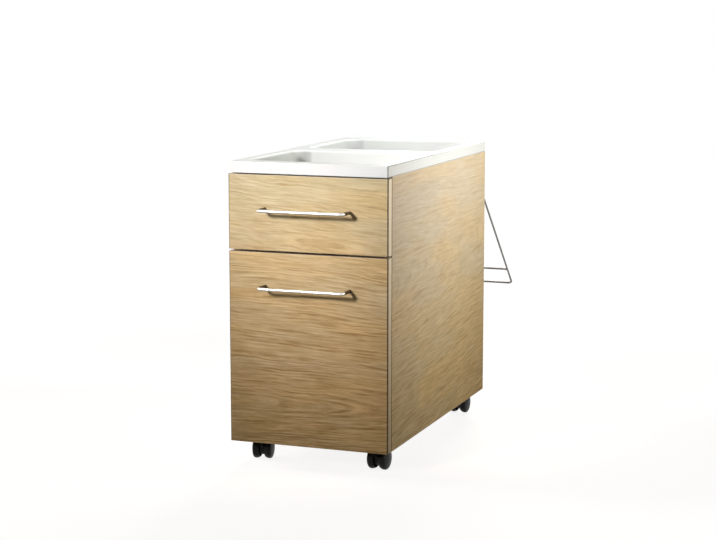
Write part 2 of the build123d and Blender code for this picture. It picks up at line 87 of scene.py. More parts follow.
def axesOf(tree, place):
    return addNode(tree, "ShaderNodeSeparateXYZ", {0: place}).outputs


def rangeOf(tree, value, fromLow, fromHigh, toLow=0.0, toHigh=1.0):
    limits = {"Value": value, "From Min": fromLow, "From Max": fromHigh, "To Min": toLow, "To Max": toHigh}
    return addNode(tree, "ShaderNodeMapRange", limits, interpolation_type="SMOOTHSTEP").outputs["Result"]


def blendOf(tree, share, first, second, mode="MIX"):
    parts = {0: share, 6: first, 7: second}
    return addNode(tree, "ShaderNodeMix", parts, data_type="RGBA", blend_type=mode).outputs[2]


def noiseOf(tree, place, stretch, detail=2.0, roughness=0.5):
    scaled = vectorOf(tree, "MULTIPLY", place, stretch)
    look = {"Vector": scaled, "Scale": 1.0, "Detail": detail, "Roughness": roughness}
    return addNode(tree, "ShaderNodeTexNoise", look).outputs[0]


def colour(red, green, blue):
    return (red, green, blue, 1.0)


def addSockets(tree, way, labels):
    for kind, names in labels.items():
        for name in names:
            tree.interface.new_socket(name, in_out=way, socket_type=f"NodeSocket{kind}")


def startGroup(name, inputs, outputs):
    group = bpy.data.node_groups.new(name, "ShaderNodeTree")
    addSockets(group, "INPUT", inputs)
    addSockets(group, "OUTPUT", {"Float": outputs})
    return group, group.nodes.new("NodeGroupInput").outputs, group.nodes.new("NodeGroupOutput").inputs


def useGroup(tree, group, inputs):
    return addNode(tree, "ShaderNodeGroup", inputs, node_tree=group).outputs


def startMaterial(name, look):
    material = bpy.data.materials.new(name)
    material.use_nodes = True
    tree = material.node_tree
    shader = tree.nodes["Principled BSDF"]
    for key, value in look.items():
        shader.inputs[key].default_value = value
    place = addNode(tree, "ShaderNodeTexCoord").outputs["Object"]
    return material, tree, shader, place


def addBump(tree, shader, height, strength, distance):
    bump = addNode(tree, "ShaderNodeBump", {"Strength": strength, "Distance": distance, "Height": height})
    tree.links.new(bump.outputs["Normal"], shader.inputs["Normal"])


def putInScene(thing):
    bpy.context.scene.collection.objects.link(thing)
    return thing


# Veneer grain: rings cut along the trunk, drawn by short streaks that follow them, with fibres, pores,
# broad tones and a cross figure. The grain runs along X. A noise has its stretch, detail and roughness.
grainShape = {
    "drifts": (((3.0, 3.0, 9.0), 1.0), ((13.0, 13.0, 34.0), 0.3), ((48.0, 48.0, 150.0), 0.07)),
    "yearStretch": (0.31, 1.0, 1.0),
    "yearShift": 3.0,
    "ringRise": 1.7,
    "ringFall": (0.82, 1.0, 1.0, 0.0),
    "forceStretch": (4.0, 0.37, 1.0),
    "forceRange": (0.32, 0.68, 0.1, 1.0),
    "dashStretch": (24.0, 0.9, 1.0),
    "dashRange": (0.3, 0.66, 0.25, 1.0),
    "streak": ((17.0, 1.9, 1.0), 3.0, 0.6),
    "fibre": ((11.0, 11.0, 420.0), 4.0, 0.6),
    "fibreHeight": (0.3, 0.5),
    "pore": ((120.0, 120.0, 2400.0), 1.0),
    "poreRange": (0.58, 0.72),
    "poreInRing": (0.8, 0.2),
    "tone": ((5.0, 5.0, 16.0), 3.0),
    "figure": ((26.0, 26.0, 44.0), 3.0, 0.55),
}


def buildGrainGroup():
    numbers = ("Heart Height", "Heart Depth", "Taper", "Lean", "Ring Width", "Waviness")
    group, given, results = startGroup("veneerGrain", {"Vector": ("Place", "Seed"), "Float": numbers},
                                       ("Ring", "Streak", "Fibre", "Pore", "Tone", "Figure", "Height"))
    place = given["Place"]
    moved = vectorOf(group, "ADD", place, given["Seed"])
    axes = axesOf(group, place)
    heart = mathOf(group, "MULTIPLY_ADD", axes["X"], given["Lean"], given["Heart Height"])
    rise = mathOf(group, "ABSOLUTE", mathOf(group, "SUBTRACT", axes["Z"], heart))
    squares = mathOf(group, "ADD", mathOf(group, "POWER", rise, 2.0),
                     mathOf(group, "POWER", given["Heart Depth"], 2.0))
    distance = mathOf(group, "MULTIPLY_ADD", axes["X"], given["Taper"], mathOf(group, "SQRT", squares))
    for stretch, share in grainShape["drifts"]:
        drift = mathOf(group, "SUBTRACT", noiseOf(group, moved, stretch), noiseMiddle)
        reach = mathOf(group, "MULTIPLY", given["Waviness"], share)
        distance = mathOf(group, "MULTIPLY_ADD", drift, reach, distance)
    even = mathOf(group, "DIVIDE", distance, given["Ring Width"])
    uneven = noiseOf(group, threeOf(group, even, 0.0, 0.0), grainShape["yearStretch"])
    phase = mathOf(group, "MULTIPLY_ADD", uneven, grainShape["yearShift"], even)
    step = mathOf(group, "FRACT", phase)
    rising = mathOf(group, "POWER", step, grainShape["ringRise"])
    falling = rangeOf(group, step, *grainShape["ringFall"])
    flow = threeOf(group, axes["X"], phase, 0.0)
    force = rangeOf(group, noiseOf(group, flow, grainShape["forceStretch"]), *grainShape["forceRange"])
    dashes = rangeOf(group, noiseOf(group, flow, grainShape["dashStretch"]), *grainShape["dashRange"])
    ring = mathOf(group, "MULTIPLY", productOf(group, rising, falling), productOf(group, force, dashes))
    fibre = noiseOf(group, moved, *grainShape["fibre"])
    pores = rangeOf(group, noiseOf(group, moved, *grainShape["pore"]), *grainShape["poreRange"])
    pore = productOf(group, pores, mathOf(group, "MULTIPLY_ADD", ring, *grainShape["poreInRing"]))
    relief = mathOf(group, "MULTIPLY_ADD", fibre, *grainShape["fibreHeight"])
    made = {
        "Ring": ring,
        "Streak": noiseOf(group, flow, *grainShape["streak"]),
        "Fibre": fibre,
        "Pore": pore,
        "Tone": noiseOf(group, moved, *grainShape["tone"]),
        "Figure": noiseOf(group, moved, *grainShape["figure"]),
        "Height": mathOf(group, "MULTIPLY_ADD", pore, -1.0, relief),
    }
    for label, value in made.items():
        group.links.new(value, results[label])
    return group


# How near a point is to the border of a board, as a mask for edge bands and corner lines
def buildBorderGroup():
    vectors = ("Place", "Middle", "Half Size", "Axes")
    group, given, results = startGroup("boardBorder", {"Vector": vectors, "Float": ("Width",)}, ("Border",))
    fromMiddle = vectorOf(group, "SUBTRACT", given["Place"], given["Middle"])
    offset = addNode(group, "ShaderNodeVectorMath", {0: fromMiddle}, operation="ABSOLUTE").outputs[0]
    gaps = axesOf(group, vectorOf(group, "SUBTRACT", given["Half Size"], offset))
    border = 0.0
    for gap, use in zip(gaps, axesOf(group, given["Axes"])):
        near = mathOf(group, "LESS_THAN", gap, given["Width"])
        border = mathOf(group, "MAXIMUM", mathOf(group, "MULTIPLY", near, use), border)
    group.links.new(border, results["Border"])
    return group


# Handling marks: soft smudges for tone and roughness, and a fine grit for the bump
markShape = {
    "details": {"Smudge": 4.0, "Grit": 2.0},
    "toneRange": (0.35, 0.65),
    "roughRange": (0.3, 0.7),
    "gritDepth": 0.0002,
}


def buildHandledGroup():
    inputs = {"Vector": ("Place",), "Float": ("Smudge Size", "Grit Size")}
    group, given, results = startGroup("handledFinish", inputs, ("Smudge", "Grit"))
    for label, detail in markShape["details"].items():
        scale = mathOf(group, "DIVIDE", 1.0, given[f"{label} Size"])
        look = {"Vector": given["Place"], "Scale": scale, "Detail": detail}
        group.links.new(addNode(group, "ShaderNodeTexNoise", look).outputs[0], results[label])
    return group


veneerGrain = buildGrainGroup()
boardBorder = buildBorderGroup()
handledFinish = buildHandledGroup()
print("node groups made")

# Veneered boards. Light and dark are the wood's two tones, warm and pale its slow drift; the shares say
# how strongly each part of the grain darkens it. The height shading is painted shade, darker and warmer
# towards the bottom, and painted sheen towards the top; it and the contrasts run from the low to the high
# height.
oakLook = {
    "light": colour(0.73, 0.59, 0.345),
    "dark": colour(0.40, 0.28, 0.13),
    "warm": colour(0.78, 0.57, 0.27),
    "pale": colour(0.63, 0.595, 0.43),
    "tintShare": 0.5,
    "meanShare": 0.3,
    "poreShare": 0.35,
    "toneRange": (0.3, 0.7),
    "tintHeights": (0.02, 0.53),
    "heightShading": {"X": (colour(1.0, 1.0, 0.93), colour(1.0, 1.0, 1.0)),
              "Y": (colour(1.0, 0.88, 0.67), colour(1.0, 1.0, 1.22))},
    "contrasts": {"X": (1.45, 0.85), "Y": (1.5, 0.6)},
    # Edge bands with painted shade towards the bottom and painted light towards the top
    "bandShading": (colour(0.56, 0.44, 0.25), colour(0.99, 0.86, 0.68)),
    "bandWidth": 0.0005,
    "bandShare": 0.8,
    "lineAndGapShade": colour(0.04, 0.025, 0.015),
    "lineWidth": 0.0014,
    "lineDepth": 0.0045,
    "lineShare": 0.92,
    "gapShadeWidth": 0.0007,
    "gapShadeDepth": 0.014,
    "gapShadeShare": 0.85,
    "fadeFrom": 0.5,
    "fibreRough": (0.2, 0.8, 0.48, 0.6),
    "shine": 0.09,
    "bump": (0.25, 0.0003),
}
# The trunk that each board is cut from, and the shares of its rings, streaks, fibres and figure
oakBoards = {
    "upper_front": {"heart": 0.415, "depth": 0.012, "taper": 0.02, "lean": -0.10, "ring": 0.0062,
                    "waves": 0.034, "seed": (0.31, 0.1, 2.4), "along": "X", "drift": 0.0,
                    "shares": (0.7, 1.7, 1.0, 0.5)},
    "lower_front": {"heart": 0.122, "depth": 0.010, "taper": 0.06, "lean": 0.0, "ring": 0.0066,
                    "waves": 0.028, "seed": (1.73, 0.6, 0.2), "along": "X", "drift": 0.0,
                    "shares": (1.0, 1.6, 1.2, 0.3)},
    "side_panel_right": {"heart": 0.36, "depth": 0.030, "taper": 0.06, "lean": 0.05, "ring": 0.0080,
                         "waves": 0.032, "seed": (3.1, 2.0, 1.2), "along": "Y", "drift": 0.7,
                         "shares": (0.6, 1.1, 0.9, 0.3)},
    "side_panel_left": {"heart": 0.21, "depth": 0.025, "taper": 0.08, "lean": -0.04, "ring": 0.0078,
                        "waves": 0.032, "seed": (5.2, 1.1, 4.4), "along": "Y", "drift": 0.7,
                        "shares": (0.6, 1.1, 0.9, 0.3)},
    "back_panel": {"heart": 0.28, "depth": 0.014, "taper": 0.09, "lean": 0.03, "ring": 0.0068,
                   "waves": 0.035, "seed": (7.4, 3.3, 2.8), "along": "X", "drift": 0.0,
                   "shares": (0.8, 1.5, 1.0, 0.5)},
}


def grainOf(tree, place, along, trunk):
    turn = -quarter if along == "Y" else 0.0
    turned = addNode(tree, "ShaderNodeMapping", {"Vector": place, "Rotation": (0.0, 0.0, turn)}).outputs[0]
    return useGroup(tree, veneerGrain, {
        "Place": turned, "Seed": trunk["seed"], "Waviness": trunk["waves"], "Heart Height": trunk["heart"],
        "Heart Depth": trunk["depth"], "Taper": trunk["taper"], "Lean": trunk["lean"],
        "Ring Width": trunk["ring"]})


def boardBox(node):
    low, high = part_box(node)
    return (low + high) / 2, (high - low) / 2


def borderOf(tree, place, box, axes, width):
    middle, half = box
    inputs = {"Place": place, "Middle": middle, "Half Size": half, "Axes": axes, "Width": width}
    return useGroup(tree, boardBorder, inputs)["Border"]


# Dark lines where a front board's corner meets its edge band, painted gap shade along a side panel's
# front corners and a front board's top and bottom edges, and an edge band's tone with painted shade low down
def addEdges(tree, place, wood, node, board):
    box = boardBox(node)
    middle, half = box
    front = middle.y - half.y
    onSide = board["along"] == "Y"
    axes = axesOf(tree, place)
    band = borderOf(tree, place, box, (0.0, 1.0, 1.0) if onSide else (1.0, 0.0, 1.0), oakLook["bandWidth"])
    # Painted shade darkens the edge band towards the bottom, and painted light brightens it towards the top
    shadedBand = blendOf(tree, rangeOf(tree, axes["Z"], *oakLook["tintHeights"]), *oakLook["bandShading"])
    wood = blendOf(tree, productOf(tree, band, oakLook["bandShare"]), wood, shadedBand)
    # Dark corner lines on a front board, painted gap shade on a side panel's front corners
    line = borderOf(tree, place, box, (1.0, 0.0, 0.0), oakLook["lineWidth"])
    deep = oakLook["lineWidth"] if onSide else oakLook["lineDepth"]
    atFront = rangeOf(tree, axes["Y"], front + deep * oakLook["fadeFrom"], front + deep, 1.0, 0.0)
    wood = blendOf(tree, productOf(tree, line, atFront, oakLook["lineShare"]), wood, oakLook["lineAndGapShade"])
    if onSide:
        return wood
    # Painted gap shade on the top and bottom edges, near the front
    level = borderOf(tree, place, box, (0.0, 0.0, 1.0), oakLook["gapShadeWidth"])
    deep = oakLook["gapShadeDepth"]
    nearFront = rangeOf(tree, axes["Y"], front + deep * oakLook["fadeFrom"], front + deep,
                        oakLook["gapShadeShare"], 0.0)
    behind = mathOf(tree, "GREATER_THAN", axes["Y"], front + oakLook["gapShadeWidth"])
    return blendOf(tree, productOf(tree, level, nearFront, behind), wood, oakLook["lineAndGapShade"])


def makeOak(node, board):
    material, tree, shader, place = startMaterial(f"oak_{node}", {"Specular IOR Level": oakLook["shine"]})
    grain = grainOf(tree, place, board["along"], board)
    axes = axesOf(tree, place)
    ringShare, *otherShares = board["shares"]
    share = mathOf(tree, "MULTIPLY", grain["Ring"], ringShare)
    for label, force in zip(("Streak", "Fibre", "Figure"), otherShares):
        offMiddle = mathOf(tree, "SUBTRACT", grain[label], noiseMiddle)
        share = mathOf(tree, "MULTIPLY_ADD", offMiddle, force, share)
    share = mathOf(tree, "MULTIPLY_ADD", grain["Pore"], oakLook["poreShare"], share)
    contrast = rangeOf(tree, axes["Z"], *oakLook["tintHeights"], *oakLook["contrasts"][board["along"]])
    share = mathOf(tree, "MULTIPLY_ADD", share, contrast, oakLook["meanShare"], clamp=True)
    middle, half = boardBox(node)
    toBack = rangeOf(tree, axes["Y"], middle.y - half.y, middle.y + half.y, -0.5, 0.5)
    broad = rangeOf(tree, grain["Tone"], *oakLook["toneRange"])
    tone = mathOf(tree, "MULTIPLY_ADD", toBack, board["drift"], broad, clamp=True)
    tinted = blendOf(tree, tone, oakLook["pale"], oakLook["warm"])
    light = blendOf(tree, oakLook["tintShare"], oakLook["light"], tinted)
    # Painted shading by height: darker and warmer towards the bottom, painted sheen towards the top
    upward = rangeOf(tree, axes["Z"], *oakLook["tintHeights"])
    tint = blendOf(tree, upward, *oakLook["heightShading"][board["along"]])
    wood = blendOf(tree, 1.0, blendOf(tree, share, light, oakLook["dark"]), tint, "MULTIPLY")
    tree.links.new(addEdges(tree, place, wood, node, board), shader.inputs["Base Color"])
    tree.links.new(rangeOf(tree, grain["Fibre"], *oakLook["fibreRough"]), shader.inputs["Roughness"])
    addBump(tree, shader, grain["Height"], *oakLook["bump"])
    return material


def dress(node, material):
    for slot in nodes[node].material_slots:
        slot.material = material


for node, board in oakBoards.items():
    dress(node, makeOak(node, board))

# White moulded tray. Depths are below the top of its rim.
trayLook = {
    "base": colour(0.77, 0.77, 0.76),
    "second": colour(0.75, 0.76, 0.75),
    "rough": (0.42, 0.52),
    "smudge": 0.09,
    "grit": (0.0016, 0.06),
    "shine": 0.3,
    "thickness": 0.020,
    "rimWidth": 0.012,
    "lipDepths": (0.006, 0.001),
    "wellDepths": (0.042, 0.030),
    # Painted shade on the wells' walls, painted light on the rim's top and the wells' floors, and painted
    # shade on the right side towards the back
    "well": (colour(0.59, 0.59, 0.57), colour(0.73, 0.73, 0.71)),
    "wellSide": (colour(0.375, 0.375, 0.352), colour(0.51, 0.50, 0.495)),
    "sideShadeReach": (0.095, 0.103),
    "level": colour(0.86, 0.86, 0.85),
    "topDepths": (0.0012, 0.0004),
    "floorRise": 0.003,
    "sideBackShade": colour(0.67, 0.65, 0.63),
    "edgeLine": colour(0.12, 0.12, 0.115),
    "lineWidth": 0.0013,
    "lineFade": (0.9, 0.25),
    "footLine": 0.7,
}


# Thin dark lines along the tray's front right corner, its right foot and its right upper edge, where the
# line fades to the back
def trayLines(tree, place):
    low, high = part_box("top_tray")
    axes = axesOf(tree, place)
    width = trayLook["lineWidth"]
    atSide = mathOf(tree, "GREATER_THAN", axes["X"], high.x - width)
    atFront = mathOf(tree, "LESS_THAN", axes["Y"], low.y + width)
    atTop = mathOf(tree, "GREATER_THAN", axes["Z"], high.z - width)
    atFoot = mathOf(tree, "LESS_THAN", axes["Z"], high.z - trayLook["thickness"] + width)
    fade = rangeOf(tree, axes["Y"], low.y, high.y, *trayLook["lineFade"])
    alongTop = productOf(tree, atSide, atTop, fade)
    alongFoot = productOf(tree, atSide, atFoot, trayLook["footLine"])
    upright = productOf(tree, atSide, atFront, trayLook["lineFade"][0])
    return mathOf(tree, "MAXIMUM", mathOf(tree, "MAXIMUM", alongTop, alongFoot), upright)


# Painted shade on the walls inside the tray's wells, which are greyer than its outside and greyest at the
# wells' left side
def shadeWells(tree, place, base):
    low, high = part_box("top_tray")
    axes = axesOf(tree, place)
    rim = trayLook["rimWidth"]
    lipFoot, lipTop = trayLook["lipDepths"]
    foot, wall = trayLook["wellDepths"]
    inside = productOf(
        tree, mathOf(tree, "LESS_THAN", mathOf(tree, "ABSOLUTE", axes["X"]), high.x - rim),
        mathOf(tree, "GREATER_THAN", axes["Y"], low.y + rim),
        mathOf(tree, "LESS_THAN", axes["Y"], high.y - rim),
        rangeOf(tree, axes["Z"], high.z - lipFoot, high.z - lipTop, 1.0, 0.0),
        rangeOf(tree, axes["Z"], high.z - foot, high.z - wall))
    atSide = rangeOf(tree, mathOf(tree, "MULTIPLY", axes["X"], -1.0), *trayLook["sideShadeReach"])
    wallShade = blendOf(tree, rangeOf(tree, axes["X"], low.x, high.x), *trayLook["well"])
    sideShade = blendOf(tree, rangeOf(tree, axes["Y"], low.y, high.y), *trayLook["wellSide"])
    return blendOf(tree, inside, base, blendOf(tree, atSide, wallShade, sideShade))


# Painted light makes the rim's top and the wells' floors the whitest, and painted shade greys the right side
# towards the back
def shadeLevels(tree, place, base):
    low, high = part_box("top_tray")
    axes = axesOf(tree, place)
    topFoot, top = trayLook["topDepths"]
    floor = high.z - trayLook["wellDepths"][0]
    onTop = rangeOf(tree, axes["Z"], high.z - topFoot, high.z - top)
    onFloor = rangeOf(tree, axes["Z"], floor, floor + trayLook["floorRise"], 1.0, 0.0)
    atSide = mathOf(tree, "GREATER_THAN", axes["X"], high.x - trayLook["lineWidth"])
    away = productOf(tree, atSide, rangeOf(tree, axes["Y"], low.y, high.y))
    sided = blendOf(tree, away, base, trayLook["sideBackShade"])
    return blendOf(tree, mathOf(tree, "MAXIMUM", onTop, onFloor), sided, trayLook["level"])


# Smudges and grit on a finish. What comes back is its base tone, smudged with the second one.
def addMarks(tree, shader, place, look):
    gritSize, gritStrength = look["grit"]
    sizes = {"Smudge Size": look["smudge"], "Grit Size": gritSize}
    marks = useGroup(tree, handledFinish, {"Place": place, **sizes})
    rough = rangeOf(tree, marks["Smudge"], *markShape["roughRange"], *look["rough"])
    tree.links.new(rough, shader.inputs["Roughness"])
    addBump(tree, shader, marks["Grit"], gritStrength, markShape["gritDepth"])
    smudged = rangeOf(tree, marks["Smudge"], *markShape["toneRange"])
    return blendOf(tree, smudged, look["base"], look["second"])


def makeTrayWhite():
    material, tree, shader, place = startMaterial("tray_moulding", {"Specular IOR Level": trayLook["shine"]})
    white = addMarks(tree, shader, place, trayLook)
    shaded = shadeLevels(tree, place, shadeWells(tree, place, white))
    lined = blendOf(tree, trayLines(tree, place), shaded, trayLook["edgeLine"])
    tree.links.new(lined, shader.inputs["Base Color"])
    return material


dress("top_tray", makeTrayWhite())

# Metals, plastics and rubber: a base tone, a second tone in its smudges, and how rough and gritty it is
plainShine = 0.5
finishes = {
    "zinc_fasteners": {"base": colour(0.62, 0.62, 0.62), "second": colour(0.46, 0.47, 0.48), "metal": 1.0,
                       "rough": (0.28, 0.45), "smudge": 0.006, "grit": (0.0005, 0.1)},
    "zinc_slides": {"base": colour(0.60, 0.61, 0.62), "second": colour(0.48, 0.49, 0.51), "metal": 1.0,
                    "rough": (0.30, 0.46), "smudge": 0.02, "grit": (0.0008, 0.08)},
    "polished_balls": {"base": colour(0.70, 0.70, 0.70), "second": colour(0.60, 0.60, 0.61), "metal": 1.0,
                       "rough": (0.10, 0.2), "smudge": 0.004, "grit": (0.0004, 0.02)},
    "grey_wire": {"base": colour(0.30, 0.30, 0.29), "second": colour(0.24, 0.24, 0.235), "metal": 0.35,
                  "rough": (0.35, 0.5), "smudge": 0.02, "grit": (0.0006, 0.08)},
    "grey_paint": {"base": colour(0.36, 0.36, 0.355), "second": colour(0.30, 0.30, 0.30), "metal": 0.0,
                   "rough": (0.38, 0.5), "smudge": 0.03, "grit": (0.0006, 0.08)},
    "black_steel": {"base": colour(0.03, 0.03, 0.03), "second": colour(0.02, 0.02, 0.021), "metal": 1.0,
                    "rough": (0.4, 0.55), "smudge": 0.006, "grit": (0.0005, 0.08)},
    "black_housing": {"base": colour(0.008, 0.008, 0.009), "second": colour(0.014, 0.014, 0.015),
                      "metal": 0.0, "shine": 0.12, "rough": (0.42, 0.54), "smudge": 0.008,
                      "grit": (0.0005, 0.05)},
    "black_wheel": {"base": colour(0.014, 0.014, 0.015), "second": colour(0.024, 0.024, 0.024),
                    "metal": 0.0, "shine": 0.1, "rough": (0.3, 0.45), "smudge": 0.008,
                    "grit": (0.0005, 0.05)},
    "clear_rubber": {"base": colour(0.52, 0.52, 0.50), "second": colour(0.42, 0.42, 0.40), "metal": 0.0,
                     "rough": (0.35, 0.5), "smudge": 0.003, "grit": (0.0004, 0.05)},
}

# Satin steel handles. Painted shade darkens the bar's underside and a painted dark reflection darkens the
# legs, from and to these distances in rod widths.
handleLook = {
    "base": colour(0.78, 0.77, 0.75),
    "second": colour(0.66, 0.65, 0.63),
    "metal": 1.0,
    "rough": (0.24, 0.34),
    "smudge": 0.03,
    "grit": (0.0006, 0.015),
    "rod": 0.006,
    "under": colour(0.30, 0.26, 0.21),
    "underReach": (0.4, 0.05),
    "legReflection": colour(0.09, 0.07, 0.055),
    "legReflectionReach": (0.8, 1.8),
}


# Painted shade under the bar, and a painted dark reflection on the legs near the panel
def shadeHandle(tree, place, base, handle):
    low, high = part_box(handle)
    middle = (low.z + high.z) / 2
    axes = axesOf(tree, place)
    underFrom, underTo = (reach * handleLook["rod"] for reach in handleLook["underReach"])
    legFrom, legTo = (reach * handleLook["rod"] for reach in handleLook["legReflectionReach"])
    above = rangeOf(tree, axes["Z"], middle - underFrom, middle - underTo)
    toPanel = rangeOf(tree, axes["Y"], low.y + legFrom, low.y + legTo)
    return blendOf(tree, toPanel, blendOf(tree, above, handleLook["under"], base), handleLook["legReflection"])


def makeFinish(name, look, handle=None):
    gloss = {"Metallic": look["metal"], "Specular IOR Level": look.get("shine", plainShine)}
    material, tree, shader, place = startMaterial(name, gloss)
    base = addMarks(tree, shader, place, look)
    if handle:
        base = shadeHandle(tree, place, base, handle)
    tree.links.new(base, shader.inputs["Base Color"])
    return material


finishMaterials = {name: makeFinish(name, look) for name, look in finishes.items()}

# Drawer boxes and hidden boards: pale birch with its plies showing on the edges
plyLook = {
    "light": colour(0.72, 0.58, 0.40),
    "dark": colour(0.56, 0.41, 0.25),
    "core": colour(0.42, 0.29, 0.17),
    "trunk": {"heart": 0.24, "depth": 0.05, "taper": 0.04, "lean": 0.02, "ring": 0.009, "waves": 0.06,
              "seed": (2.2, 4.1, 0.7)},
    "ringShare": 0.25,
    "streakMiddle": 0.42,
    "streakShare": 0.35,
    "fibreMiddle": 0.4,
    "fibreShare": 0.4,
    "plies": {"X": 0.0024, "Y": 0.0024, "Z": 0.0013},
    "coreRange": (0.2, 0.3),
    "coreShare": 0.35,
    "shader": {"Roughness": 0.5, "Specular IOR Level": 0.3},
    "bump": (0.15, 0.0002),
}


def makePly(name, along, across):
    material, tree, shader, place = startMaterial(name, plyLook["shader"])
    grain = grainOf(tree, place, along, plyLook["trunk"])
    streak = mathOf(tree, "SUBTRACT", grain["Streak"], plyLook["streakMiddle"])
    fibre = mathOf(tree, "SUBTRACT", grain["Fibre"], plyLook["fibreMiddle"])
    share = mathOf(tree, "MULTIPLY", grain["Ring"], plyLook["ringShare"])
    share = mathOf(tree, "MULTIPLY_ADD", streak, plyLook["streakShare"], share)
    share = mathOf(tree, "MULTIPLY_ADD", fibre, plyLook["fibreShare"], share, clamp=True)
    wood = blendOf(tree, share, plyLook["light"], plyLook["dark"])
    layer = mathOf(tree, "DIVIDE", axesOf(tree, place)[across], plyLook["plies"][across])
    inLayer = mathOf(tree, "SUBTRACT", mathOf(tree, "FRACT", layer), 0.5)
    core = rangeOf(tree, mathOf(tree, "ABSOLUTE", inLayer), *plyLook["coreRange"])
    wood = blendOf(tree, productOf(tree, core, plyLook["coreShare"]), wood, plyLook["core"])
    tree.links.new(wood, shader.inputs["Base Color"])
    addBump(tree, shader, grain["Height"], *plyLook["bump"])
    return material


plyMaterials = {
    "side": makePly("birch_side", "Y", "X"),
    "front": makePly("birch_front", "X", "Y"),
    "bottom": makePly("birch_bottom", "Y", "Z"),
}

for drawer in ("upper", "lower"):
    for side in ("left", "right"):
        dress(f"{drawer}_box_side_{side}", plyMaterials["side"])
        for channel in ("outer", "middle", "inner"):
            dress(f"{drawer}_slide_{channel}_{side}", finishMaterials["zinc_slides"])
    dress(f"{drawer}_box_front", plyMaterials["front"])
    dress(f"{drawer}_box_back", plyMaterials["front"])
    dress(f"{drawer}_box_bottom", plyMaterials["bottom"])
    handle = f"{drawer}_handle"
    dress(handle, makeFinish(f"satin_steel_{drawer}", handleLook, handle))
    dress(f"{drawer}_handle_screws", finishMaterials["zinc_fasteners"])
for node in ("bottom_panel", "front_cross_rail", "tray_support_rail"):
    dress(node, plyMaterials["bottom"])
dress("panel_dowels", plyMaterials["front"])
for node in ("tray_screws", "caster_inserts"):
    dress(node, finishMaterials["zinc_fasteners"])
dress("caster_kingpins", finishMaterials["black_steel"])
for node in ("rack_loop", "rack_cross_rail", "rack_ferrules"):
    dress(node, finishMaterials["grey_wire"])
dress("file_rails", finishMaterials["grey_paint"])
dress("front_bumpers", finishMaterials["clear_rubber"])
for node in nodes:
    if node.startswith("caster_") and node.endswith("_housing"):
        dress(node, finishMaterials["black_housing"])
    if node.startswith("caster_") and node.endswith("_axle"):
        dress(node, finishMaterials["zinc_fasteners"])
    if node.startswith("caster_") and "_wheel_" in node:
        dress(node, finishMaterials["black_wheel"])
print("materials made:", len(bpy.data.materials))


# Small parts that repeat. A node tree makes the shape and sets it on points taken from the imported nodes.
def startShapes(name, inputs):
    tree = bpy.data.node_groups.new(name, "GeometryNodeTree")
    addSockets(tree, "INPUT", {"Geometry": ("Geometry",), **inputs, "Material": ("Material",)})
    addSockets(tree, "OUTPUT", {"Geometry": ("Geometry",)})
    return tree, tree.nodes.new("NodeGroupInput").outputs, tree.nodes.new("NodeGroupOutput").inputs


def setOut(tree, points, part, turn=(0.0, 0.0, 0.0)):
    inputs = {"Points": points, "Instance": part, "Rotation": turn}
    placed = addNode(tree, "GeometryNodeInstanceOnPoints", inputs)
    return addNode(tree, "GeometryNodeRealizeInstances", {"Geometry": placed.outputs[0]}).outputs[0]


def endShapes(tree, given, results, shape):
    dressed = addNode(tree, "GeometryNodeSetMaterial", {"Geometry": shape, "Material": given["Material"]})
    tree.links.new(dressed.outputs[0], results["Geometry"])
    return tree


def movedBy(tree, shape, translation, rotation=(0.0, 0.0, 0.0), scale=(1.0, 1.0, 1.0)):
    change = {"Geometry": shape, "Translation": translation, "Rotation": rotation, "Scale": scale}
    return addNode(tree, "GeometryNodeTransform", change).outputs[0]


def smoothBall(tree, kind, sizes):
    ball = addNode(tree, kind, sizes).outputs["Mesh"]
    return addNode(tree, "GeometryNodeSetShadeSmooth", {"Geometry": ball}).outputs[0]


def joined(tree, shapes):
    join = tree.nodes.new("GeometryNodeJoinGeometry")
    for shape in shapes:
        tree.links.new(shape, join.inputs[0])
    return join.outputs[0]


# A screw: a tapered head with a cross recess, and its shank below. The recess is in shares of the head.
screwShape = {"headSides": 28, "shankSides": 16, "recessLength": 1.05, "recessWidth": 0.2, "recessDepth": 1.1}


def buildScrewTree():
    numbers = ("Head Radius", "Head Height", "Taper", "Shank Radius", "Shank Length")
    tree, given, results = startShapes("crossScrews", {"Float": numbers, "Vector": ("Turn",)})
    radius, height = given["Head Radius"], given["Head Height"]
    head = addNode(tree, "GeometryNodeMeshCone", {
        "Vertices": screwShape["headSides"], "Radius Top": productOf(tree, radius, given["Taper"]),
        "Radius Bottom": radius, "Depth": height})
    size = threeOf(tree, productOf(tree, radius, screwShape["recessLength"]),
                   productOf(tree, radius, screwShape["recessWidth"]),
                   productOf(tree, height, screwShape["recessDepth"]))
    slot = addNode(tree, "GeometryNodeMeshCube", {"Size": size}).outputs[0]
    cut = tree.nodes.new("GeometryNodeMeshBoolean")
    cut.operation = "DIFFERENCE"
    tree.links.new(head.outputs["Mesh"], cut.inputs["Mesh 1"])
    for turn in (quarter / 2, -quarter / 2):
        raised = movedBy(tree, slot, threeOf(tree, 0.0, 0.0, height), (0.0, 0.0, turn))
        tree.links.new(raised, cut.inputs["Mesh 2"])
    shank = addNode(tree, "GeometryNodeMeshCylinder", {
        "Vertices": screwShape["shankSides"], "Radius": given["Shank Radius"],
        "Depth": given["Shank Length"]}).outputs["Mesh"]
    below = threeOf(tree, 0.0, 0.0, productOf(tree, given["Shank Length"], -0.5))
    screw = joined(tree, (cut.outputs["Mesh"], movedBy(tree, shank, below)))
    return endShapes(tree, given, results, setOut(tree, given["Geometry"], screw, given["Turn"]))


# Rows of balls along Y, one row from each point
ballShape = {"Segments": 12, "Rings": 8}


